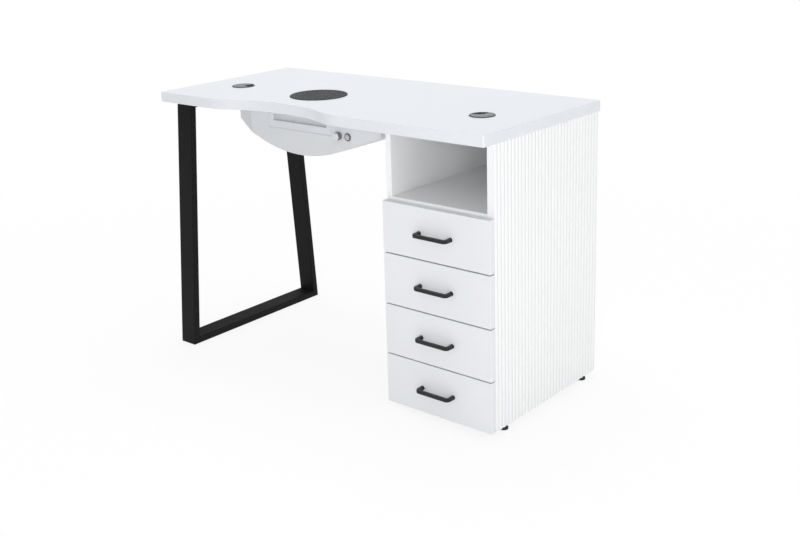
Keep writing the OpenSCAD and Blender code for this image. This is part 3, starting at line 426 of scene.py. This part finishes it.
def finishPiece(name, bm, finish, body, node, sharp=40):
    bmesh.ops.dissolve_degenerate(bm, dist=weldWithin, edges=bm.edges)
    bmesh.ops.recalc_face_normals(bm, faces=bm.faces)
    mesh = bpy.data.meshes.new(name)
    bm.to_mesh(mesh)
    bm.free()
    for face in mesh.polygons:
        face.use_smooth = True
    mesh.set_sharp_from_angle(angle=radians(sharp))
    piece = bpy.data.objects.new(name, mesh)
    scene.collection.objects.link(piece)
    mesh.materials.append(finishes[finish])
    even = piece.modifiers.new("evenNormals", "WEIGHTED_NORMAL")
    even.keep_sharp = True
    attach(piece, body)
    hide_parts(node)
    return piece


easing = {
    "mergeWithin": 0.002 * mm,
    "flatWithin": 0.4,      # degrees
    "sharpFrom": 25,
    "creaseFrom": 32,
    "profile": 0.6,
}


def softened(node, finish, body, width, segments=2, pick=None, name=None):
    # copy of a CAD node with its edges eased; pick chooses among its sharp edges
    bm = bmesh.new()
    bm.from_mesh(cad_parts[node].data)
    bmesh.ops.remove_doubles(bm, verts=bm.verts, dist=easing["mergeWithin"])
    bmesh.ops.dissolve_limit(bm, angle_limit=radians(easing["flatWithin"]), verts=bm.verts, edges=bm.edges)
    least = radians(easing["sharpFrom"])
    sharp = [e for e in bm.edges if e.is_manifold and e.calc_face_angle(0) > least]
    sharp = [e for e in sharp if pick is None or pick(e)]
    bmesh.ops.bevel(bm, geom=sharp, offset=width, offset_type="OFFSET", segments=segments,
                    profile=easing["profile"], affect="EDGES", clamp_overlap=True)
    return finishPiece(name or node + "_piece", bm, finish, body, node, sharp=easing["creaseFrom"])


def size(node):
    low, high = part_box(node)
    return low, high, (low + high) / 2


top = {
    "bandWidth": 2 * mm,
    "edgeRound": 1.1 * mm,
    "cornerRadius": 4 * mm,
    "waveWidth": 478 * mm,
    "waveDepth": 50 * mm,
    "waveEndRadius": 150 * mm,
    "seam": 0.12 * mm,
    "arcSteps": 40,
    "cornerSteps": 6,
    "cableHole": 30 * mm,
    "intakeHole": 73 * mm,
}


def topOutline(by):
    low, high, _ = size("edge_band")
    middle = size("grille")[2].x
    r = top["cornerRadius"] - by
    half = top["waveWidth"] / 2
    turn = 2 * atan(top["waveDepth"] / half)
    endRadius = top["waveEndRadius"]
    midRadius = half / sin(turn) - endRadius
    n, few = top["arcSteps"], top["cornerSteps"]

    def arc(cx, cy, radius, start, end, count):
        turns = [start + (end - start) * k / count for k in range(count + 1)]
        return [(cx + radius * sin(a), cy + radius * cos(a)) for a in turns]

    x0, y0, x1, y1 = low.x + by, low.y + by, high.x - by, high.y - by
    points = arc(x0 + r, y0 + r, r, pi * 1.5, pi, few)
    points += arc(middle - half, low.y + endRadius, endRadius - by, pi, pi - turn, n)
    points += arc(middle, low.y + top["waveDepth"] - midRadius, midRadius + by, -turn, turn, 2 * n)[1:]
    points += arc(middle + half, low.y + endRadius, endRadius - by, pi + turn, pi, n)[1:]
    points += arc(x1 - r, y0 + r, r, pi, pi / 2, few)
    points += arc(x1 - r, y1 - r, r, pi / 2, 0, few)
    points += arc(x0 + r, y1 - r, r, 2 * pi, pi * 1.5, few)
    return points


def buildTop():
    low, high, _ = size("table_top")
    holes = []
    for node in ("grommet_sleeve_left", "grommet_sleeve_right"):
        middle = size(node)[2]
        holes.append(circle(top["cableHole"], (middle.x, middle.y)))
    middle = size("grille")[2]
    holes.append(circle(top["intakeHole"], (middle.x, middle.y), 128))
    bm = bmesh.new()
    plate(bm, topOutline(top["bandWidth"]), holes, low.z, high.z, top["seam"], steps=1)
    finishPiece("top_board", bm, "topLaminate", "table", "table_top")
    bm = bmesh.new()
    outer, inner = topOutline(0), topOutline(top["bandWidth"])
    seam, ease = top["seam"], top["edgeRound"]
    levels = [(ease * (1 - sin(pi / 2 * k / 4)), low.z + ease * (1 - cos(pi / 2 * k / 4))) for k in range(5)]
    levels += [(by, high.z + low.z - z) for by, z in reversed(levels)]
    rings = [[bm.verts.new((*p, z)) for p in inset(outer, by)] for by, z in levels]
    for by, z in ((-seam, high.z), (0, high.z - seam), (0, low.z + seam), (-seam, low.z)):
        rings.append([bm.verts.new((*p, z)) for p in inset(inner, by)])
    for a, b in zip(rings, rings[1:] + rings[:1]):
        bridge(bm, a, b)
    finishPiece("top_edge_band", bm, "bandPlastic", "table", "edge_band")


buildTop()
print("table top built")


grommet = {
    "slack": 0.05 * mm,     # between the ring and its hole
    "lip": 3 * mm,
    "height": 2.5 * mm,
    "ledge": 3.5 * mm,
    "wall": 2.2 * mm,
    "ease": 0.35 * mm,
    "gap": 95,              # degrees of the cap's open sector
    "facing": {"left": 30, "right": 140},
    "capSlack": 0.8 * mm,
    "capLow": 0.5 * mm,
    "capHigh": 2.3 * mm,
    "skirt": (24.6, 26.0, -3.0, 0.6),                            # inner and outer radius, bottom and top
    "rings": ((18.0, 18.8, 2.2, 2.65), (22.2, 23.0, 2.2, 2.65)),
    "hub": ((0, 0.6), (5, 0.6), (5, 2.6), (4.2, 3), (0, 3)),
    "steps": 84,
}


def buildGrommet(side):
    low, _, middle = size(f"grommet_sleeve_{side}")
    g, r = grommet, top["cableHole"]
    surface = size("table_top")[1].z
    place = Matrix.Translation((middle.x, middle.y, surface))
    deep, height = low.z - surface, g["height"]
    fit, rim, ledge, wall = r - g["slack"], r + g["lip"], r - g["ledge"], r - g["wall"]
    bm = bmesh.new()
    outline = [(fit, deep), (fit, 0), (rim, 0), (rim, 1.3 * mm), (r + 1.6 * mm, height),
               (r - 0.5 * mm, height), (r - 0.5 * mm, 0.2 * mm), (ledge, 0.2 * mm), (ledge, -1.8 * mm),
               (wall, -1.8 * mm), (wall, deep)]
    lathe(bm, outline, place, steps=112, radius=g["ease"])
    finishPiece(f"grommet_ring_{side}", bm, "grommetRing", "table", f"grommet_sleeve_{side}")

    # cap: a disc with an eased rim, raised rings and a sector left open
    capRadius = r - g["capSlack"]
    half = radians(g["gap"] / 2)
    turn = place @ Matrix.Rotation(radians(g["facing"][side]), 4, "Z")
    steps = g["steps"]
    angles = [half + (2 * pi - 2 * half) * k / steps for k in range(steps + 1)]
    sector = [(0.0, 0.0)] + [(capRadius * cos(a), capRadius * sin(a)) for a in angles]
    bm = bmesh.new()
    plate(bm, softCorners(sector, 0.8 * mm, 3), [], g["capLow"], g["capHigh"], 0.5 * mm, turn, 3)
    for inner, outer, z0, z1 in (g["skirt"], *g["rings"]):
        spread = [half + 0.05 + (2 * pi - 2 * half - 0.1) * k / steps for k in range(steps + 1)]
        ring = [(outer * mm * cos(a), outer * mm * sin(a)) for a in spread]
        ring += [(inner * mm * cos(a), inner * mm * sin(a)) for a in reversed(spread)]
        plate(bm, ring, [], z0 * mm, z1 * mm, 0.18 * mm, turn, 2)
    lathe(bm, [(out * mm, z * mm) for out, z in g["hub"]], turn, 40)
    finishPiece(f"grommet_cap_{side}_disc", bm, "grommetCap", f"{side}_cap",
                f"grommet_cap_{side}", sharp=50)


for side in ("left", "right"):
    buildGrommet(side)

grilleSizes = {
    "openRadius": 67 * mm,
    "rimRadius": 80 * mm,
    "pitch": 6.8 * mm,
    "barWidth": 3.2 * mm,
    "top": 2.5 * mm,
    "crossBar": 3 * mm,
    "spigotInner": 67.5 * mm,
    "spigotOuter": 70.2 * mm,
    "sink": 0.8 * mm,       # how far the bars run into the rim
}


def buildGrille():
    g = grilleSizes
    low, _, middle = size("grille")
    surface = size("table_top")[1].z
    place = Matrix.Translation((middle.x, middle.y, surface))
    bm = bmesh.new()
    opening, edge = g["openRadius"], g["rimRadius"]
    rim = [(opening, 0), (edge, 0), (edge, 1.2 * mm), (edge - 1.6 * mm, g["top"]),
           (opening + 3 * mm, g["top"]), (opening, 1.9 * mm)]
    lathe(bm, rim, place, 160, 0.4 * mm)
    spigot = rectangle(g["spigotInner"], low.z - surface, g["spigotOuter"], 0.1 * mm)
    lathe(bm, spigot, place, 120, 0.3 * mm)
    count = int((opening - 3.6 * mm) / g["pitch"])
    for k in range(-count - 1, count + 1):
        x = (k + 0.5) * g["pitch"]
        reach = sqrt(opening ** 2 - x * x) + g["sink"]
        half = g["barWidth"] / 2
        flat = half * 0.55
        section = [(-half, 0), (half, 0), (half, 1.0 * mm), (flat, 1.95 * mm),
                   (-flat, 1.95 * mm), (-half, 1.0 * mm)]
        section = softCorners(section, 0.35 * mm, 2)
        solidOfPoints(bm, [[place @ Vector((x + u, y, w)) for u, w in section] for y in (-reach, reach)])
    for side in (-1, 1):
        y = side * opening / 3
        reach = sqrt(opening ** 2 - y * y) + g["sink"]
        half = g["crossBar"] / 2
        section = softCorners(rectangle(-half, -1.5 * mm, half, 0.5 * mm), 0.4 * mm, 2)
        solidOfPoints(bm, [[place @ Vector((x, y + u, w)) for u, w in section] for x in (-reach, reach)])
    disc = finishPiece("intake_grille_disc", bm, "grilleCoat", "intake_grille", "grille",
                       sharp=45)
    disc.data.materials.append(finishes["grilleBarTopsPaintedLight"])
    for face in disc.data.polygons:
        out = (face.center - middle).xy.length
        paintedLitBarTop = out < opening - 1.5 * mm and face.normal.z > 0.9
        face.material_index = 1 if paintedLitBarTop else 0      # the bars' flat tops get a paler finish: painted light where they catch the light
    softened("grille_collar", "liningPlastic", "table", 0.5 * mm)


buildGrille()
print("grommets and grille built")


legs = {"edgeRound": 2.2 * mm, "steps": 5}


def buildTube(name, node, ends):
    # ends: (outer corner, inner corner) of the mitre at each end, in the Y-Z plane
    low, high, _ = size(node)
    width = high.x - low.x
    thick = size("leg_foot_bar")[1].z
    section = softCorners(rectangle(0, 0, width, thick), legs["edgeRound"], legs["steps"])
    rings = []
    for outer, inner in ends:
        ring = [(low.x + u, Vector(outer).lerp(Vector(inner), v / thick)) for u, v in section]
        rings.append([Vector((x, *across)) for x, across in ring])
    bm = bmesh.new()
    solidOfPoints(bm, rings)
    finishPiece(name, bm, "blackCoat", "table", node, sharp=60)


def buildLegs():
    foot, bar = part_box("leg_foot_bar"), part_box("leg_top_bar")
    footY, topY, topZ = foot[1].y, bar[1].y, bar[1].z
    thick = foot[1].z
    lean = atan((footY - topY) / topZ)
    across = thick / cos(lean)

    def innerY(z):
        return footY - z * tan(lean) - across

    lowIn, highIn = innerY(thick), innerY(topZ - thick)
    footFront, footRear = ((-footY, 0), (-lowIn, thick)), ((footY, 0), (lowIn, thick))
    topFront, topRear = ((-topY, topZ), (-highIn, topZ - thick)), ((topY, topZ), (highIn, topZ - thick))
    buildTube("front_post", "leg_front_post", (footFront, topFront))
    buildTube("rear_post", "leg_rear_post", (footRear, topRear))
    buildTube("foot_bar", "leg_foot_bar", (footFront, footRear))
    buildTube("upper_bar", "leg_top_bar", (topFront, topRear))
    softened("leg_screws", "screwSteel", "table", 0.5 * mm)


buildLegs()
print("leg frame built")


cabinet = {
    "boardEase": 0.7 * mm,
    "longEdge": 40 * mm,        # shorter edges, such as those of screw holes, stay as they are
    "ribPitch": 14.6 * mm,
    "ribLand": 1.2 * mm,
    "ribDepth": 2.2 * mm,
    "ribSteps": 12,
}


def buildBoard(name, node, finish, body, ease):
    low, high, _ = size(node)
    bm = bmesh.new()
    thin = min(range(3), key=lambda k: (high - low)[k])
    a, b = [k for k in range(3) if k != thin]
    turn = Matrix.Identity(4)
    for row in range(3):
        for column in range(3):
            turn[row][column] = float((row, column) in ((a, 0), (b, 1), (thin, 2)))
    outline = softCorners(rectangle(low[a], low[b], high[a], high[b]), ease, 3)
    plate(bm, outline, [], low[thin], high[thin], ease, turn)
    finishPiece(name, bm, finish, body, node)


def buildCladding():
    low, high, _ = size("cabinet_cladding")
    c = cabinet
    depth = high.y - low.y
    half = (c["ribPitch"] - c["ribLand"]) / 2
    radius = (half * half + c["ribDepth"] ** 2) / (2 * c["ribDepth"])
    count = int(depth / c["ribPitch"])
    start = low.y + (depth - count * c["ribPitch"]) / 2
    base = high.x - c["ribDepth"]
    outline = [(low.x, high.y), (low.x, low.y), (base, low.y)]
    for k in range(count):
        middle = start + (k + 0.5) * c["ribPitch"]
        outline.append((base, middle - half - c["ribLand"] * 0.25))
        for s in range(c["ribSteps"] + 1):
            y = -half + 2 * half * s / c["ribSteps"]
            outline.append((high.x - radius + sqrt(radius * radius - y * y), middle + y))
        outline.append((base, middle + half + c["ribLand"] * 0.25))
    outline.append((base, high.y))
    bm = bmesh.new()
    plate(bm, outline, [], low.z, high.z, 0.3 * mm, steps=1)
    finishPiece("ribbed_side", bm, "ribLacquer", "table", "cabinet_cladding", sharp=22)


def buildCabinet():
    for name, node in (("side_board_left", "cabinet_side_left"), ("side_board_right", "cabinet_side_right"),
                       ("back_board", "cabinet_back"), ("bottom_board", "cabinet_bottom"),
                       ("shelf_board", "niche_shelf")):
        softened(node, "boardLaminate", "table", cabinet["boardEase"], 3,
                 lambda e: e.calc_length() > cabinet["longEdge"], name)
    buildCladding()
    softened("cabinet_feet", "blackPlastic", "table", 0.6 * mm)
    softened("cabinet_brackets", "whitePlastic", "table", 0.5 * mm)
    softened("cabinet_screws", "screwSteel", "table", 0.3 * mm)
    softened("cabinet_runners", "zincSteel", "table", 0.25 * mm)


buildCabinet()
print("cabinet built")


drawer = {
    "frontEase": 1.0 * mm,
    "handleSpan": 96 * mm,
    "handleThick": 9 * mm,
    "handleOut": 28 * mm,
    "bend": 7 * mm,
    "flangeRadius": 6 * mm,
    "flangeHeight": 2 * mm,
    "barRound": 1.5 * mm,
    "bendSteps": 12,
}


def buildHandle(number):
    # bow handle: a bar with eased corners swept round two bends, and a turned flange at each foot
    d = drawer
    middle = size(f"drawer_{number}_handle")[2]
    wall = size(f"drawer_{number}_front")[0].y
    half, reach = d["handleSpan"] / 2, d["handleOut"] - d["handleThick"] / 2
    path = [(-half, 0.0), (-half, -(reach - d["bend"]) * 0.5)]
    for k in range(d["bendSteps"] + 1):
        a = pi / 2 * k / d["bendSteps"]
        path.append((-half + d["bend"] * (1 - cos(a)), -reach + d["bend"] * (1 - sin(a))))
    path += [(-half * 0.4, -reach), (0.0, -reach)]
    path += [(-x, y) for x, y in reversed(path[:-1])]
    thick = d["handleThick"] / 2
    section = softCorners(rectangle(-thick, -thick, thick, thick), d["barRound"], 4)
    rings = []
    for i, here in enumerate(path):
        before, after = Vector(path[max(i - 1, 0)]), Vector(path[min(i + 1, len(path) - 1)])
        along = (after - before).normalized()
        side = Vector((-along.y, along.x))
        centre = Vector((middle.x + here[0], wall + here[1], middle.z))
        rings.append([centre + Vector((side.x * u, side.y * u, w)) for u, w in section])
    bm = bmesh.new()
    solidOfPoints(bm, rings)
    for side in (-1, 1):
        place = Matrix.Translation((middle.x + side * half, wall, middle.z)) @ Matrix.Rotation(pi / 2, 4, "X")
        r, h = d["flangeRadius"], d["flangeHeight"]
        lathe(bm, [(0, 0), (r, 0), (r, h * 0.6), (r * 0.86, h), (0, h)], place, 40, 0.25 * mm)
    finishPiece(f"drawer_{number}_bow", bm, "blackHandle", f"drawer_{number}",
                f"drawer_{number}_handle", sharp=45)


def buildDrawer(number):
    body = f"drawer_{number}"
    buildBoard(f"{body}_panel", f"{body}_front", "frontLaminate", body, drawer["frontEase"])
    softened(f"{body}_box", "drawerBoard", body, 0.6 * mm)
    buildBoard(f"{body}_floor", f"{body}_bottom", "drawerBoard", body, 0.3 * mm)
    softened(f"{body}_fittings", "zincSteel", body, 0.25 * mm)
    buildHandle(number)


for number in (1, 2, 3, 4):
    buildDrawer(number)
print("drawers built")


collector = {"edgeRound": 2.4 * mm, "ease": 0.6 * mm, "topZone": 8 * mm, "near": 0.2 * mm}


def buildCollector():
    shellLow, shellHigh, _ = size("collector_shell")
    nearTop = shellHigh.z - collector["topZone"]

    def outside(e):
        # outer edges of the housing, away from the top and from the inside
        points = [v.co for v in e.verts]
        if min(p.z for p in points) > nearTop:
            return False
        normals = [f.normal for f in e.link_faces]
        middle = (points[0] + points[1]) / 2
        onEnd = min(middle.x - shellLow.x, shellHigh.x - middle.x) < collector["near"]
        onBack = shellHigh.y - middle.y < collector["near"]
        underFront = min(n.z for n in normals) < -0.7 and min(n.y for n in normals) < -0.7
        return onEnd or onBack or underFront

    softened("collector_shell", "housingPlastic", "table", collector["edgeRound"], 4,
             outside)
    softened("collector_fascia", "housingPlastic", "table", collector["ease"], 3)
    softened("filter_drawer", "housingPlastic", "filter_tray", collector["ease"], 3)
    softened("filter_cassette", "filterPaper", "filter_tray", 0.3 * mm)
    softened("fan_plate", "fanPlastic", "table", 0.4 * mm)
    softened("fan_impeller", "fanPlastic", "fan_wheel", 0.35 * mm)
    softened("fan_motor", "motorMetal", "table", 0.8 * mm)
    softened("fan_shaft", "shaftSteel", "fan_wheel", 0.4 * mm)
    softened("speed_control", "motorMetal", "table", 0.4 * mm)
    softened("control_board", "boardLacquer", "table", 0.2 * mm)
    softened("exhaust_cover", "housingPlastic", "table", 0.4 * mm)
    softened("cord_gland", "blackPlastic", "table", 0.5 * mm)
    softened("collector_screws", "screwSteel", "table", 0.3 * mm)
    knob = softened("speed_knob", "knobAluminium", "knob", 0.25 * mm)
    knob.data.materials.append(finishes["knobSidePaintedShade"])
    for face in knob.data.polygons:
        face.material_index = 1 if abs(face.normal.y) < 0.5 else 0      # fluted side of the knob takes a darker finish: painted shade
    softened("switch_body", "switchRing", "table", 0.3 * mm)
    softened("power_button", "switchMetal", "button", 0.2 * mm)


buildCollector()
print("dust collector built")


studio = {
    "floorSize": 30.0,
    "floorColor": (0.95, 0.95, 0.95),
    "glowNear": 0.85,
    "glowFar": 1.0,
    "glowRange": (0.9, 2.6),     # metres from the middle of the table
    "sky": (0.97, 0.985, 1.0),
    "skyStrength": 0.6,
    "floorDrop": 0.4 * mm,       # keeps the feet clear of the floor
    "lampsAimAt": (0.1, 0, 0.45),
}


def buildFloor():
    bm = bmesh.new()
    half = studio["floorSize"] / 2
    corners = rectangle(-half, -half, half, half)
    bm.faces.new([bm.verts.new((x, y, -studio["floorDrop"])) for x, y in corners])
    mesh = bpy.data.meshes.new("studio_floor")
    bm.to_mesh(mesh)
    bm.free()
    floor = bpy.data.objects.new("studio_floor", mesh)
    scene.collection.objects.link(floor)
    material = bpy.data.materials.new("studioFloor")
    material.use_nodes = True
    tree = material.node_tree
    shader = tree.nodes["Principled BSDF"]
    shader.inputs["Base Color"].default_value = (*studio["floorColor"], 1)
    shader.inputs["Roughness"].default_value = 0.9
    shader.inputs["Specular IOR Level"].default_value = 0.0
    glow = wire(tree, "ShaderNodeEmission", {"Color": (1, 1, 1, 1), "Strength": 1.0})
    rays = wire(tree, "ShaderNodeLightPath")
    seen = mathNode(tree, "MAXIMUM", rays.outputs["Is Camera Ray"], rays.outputs["Is Glossy Ray"])
    seen = mathNode(tree, "MAXIMUM", seen, rays.outputs["Is Transmission Ray"])
    away = wire(tree, "ShaderNodeVectorMath", {0: wire(tree, "ShaderNodeTexCoord").outputs["Object"]},
                operation="LENGTH").outputs["Value"]
    near, far = studio["glowRange"]
    glowing = rangeNode(tree, away, near, far, studio["glowNear"], studio["glowFar"])
    share = mathNode(tree, "MULTIPLY", seen, glowing)
    mixed = wire(tree, "ShaderNodeMixShader", {0: share, 1: shader.outputs[0], 2: glow.outputs[0]})
    tree.links.new(mixed.outputs[0], tree.nodes["Material Output"].inputs["Surface"])
    mesh.materials.append(material)


def buildWorld():
    world = bpy.data.worlds.new("studio")
    scene.world = world
    world.use_nodes = True
    tree = world.node_tree
    sky = tree.nodes["Background"]
    sky.inputs["Color"].default_value = (*studio["sky"], 1)
    sky.inputs["Strength"].default_value = studio["skyStrength"]
    plain = wire(tree, "ShaderNodeBackground", {"Color": (1, 1, 1, 1), "Strength": 1.0})
    rays = wire(tree, "ShaderNodeLightPath")
    seen = mathNode(tree, "MAXIMUM", rays.outputs["Is Camera Ray"], rays.outputs["Is Transmission Ray"])
    mixed = wire(tree, "ShaderNodeMixShader", {0: seen, 1: sky.outputs[0], 2: plain.outputs[0]})
    tree.links.new(mixed.outputs[0], tree.nodes["World Output"].inputs["Surface"])


lamps = {
    "sideSoftbox": {"place": (4.2, -0.6, 1.9), "size": 2.6, "power": 20, "shine": True},
    "frontSoftbox": {"place": (2.7, -3.5, 0.95), "size": 2.0, "power": 66, "shine": False},
    "topSoftbox": {"place": (-0.6, 0.6, 4.2), "size": 3.0, "power": 76, "shine": True},
}


def buildLamps():
    for name, own in lamps.items():
        data = bpy.data.lights.new(name, "AREA")
        data.shape, data.size, data.energy = "SQUARE", own["size"], own["power"]
        lamp = bpy.data.objects.new(name, data)
        scene.collection.objects.link(lamp)
        lamp.location = own["place"]
        lamp.visible_glossy = own["shine"]      # the low lamp makes no glare along the top
        lamp.rotation_mode = "QUATERNION"
        toTable = Vector(studio["lampsAimAt"]) - lamp.location
        lamp.rotation_quaternion = toTable.to_track_quat("-Z", "Y")


buildFloor()
buildWorld()
buildLamps()
scene.view_settings.view_transform = "Standard"
print("floor and light set")
